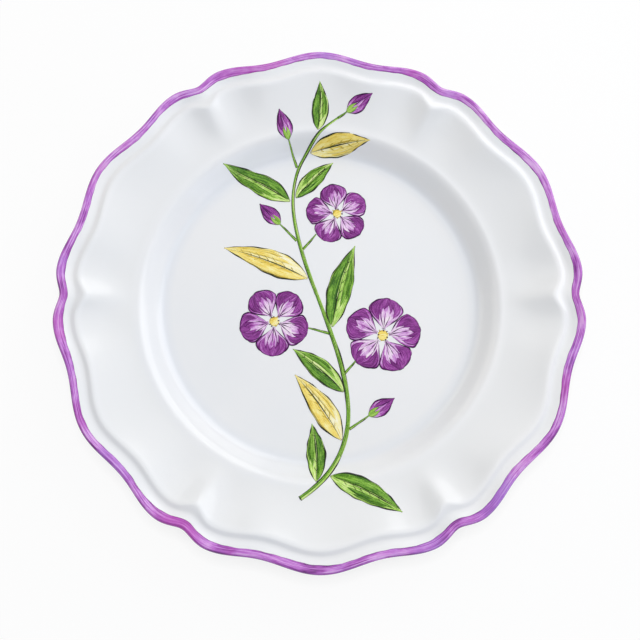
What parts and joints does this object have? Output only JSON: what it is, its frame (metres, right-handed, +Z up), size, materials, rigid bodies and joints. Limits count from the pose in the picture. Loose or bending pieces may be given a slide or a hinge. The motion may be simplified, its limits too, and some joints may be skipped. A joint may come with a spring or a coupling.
{
  "type": "dinner plate",
  "caption": "Round dinner plate with a lobed, ribbed rim, a stepped lip under a brushed purple band, and a painted flower spray across its flat well.",
  "frame": {"origin": "centre of the foot ring's standing face, at the bottom of the plate", "axes": "+Z up out of the well; two notches of the rim lie on the X axis and two crowns on the Y axis, with -Y towards the picture's viewer"},
  "size_m": [0.2776, 0.28, 0.0302],
  "materials": {
    "white_glaze": "gloss tin-white glaze",
    "band_paint": "brushed purple under clear gloss glaze",
    "leaf_paint": "brushed leaf green under clear gloss glaze",
    "petal_paint": "brushed purple and lilac under clear gloss glaze",
    "yellow_paint": "brushed warm yellow under clear gloss glaze"
  },
  "bodies": {
    "root": {"plate_body": "white_glaze", "rim_band": "band_paint", "leaf_coat": "leaf_paint", "petal_coat": "petal_paint", "yellow_coat": "yellow_paint"}
  },
  "joints": []
}
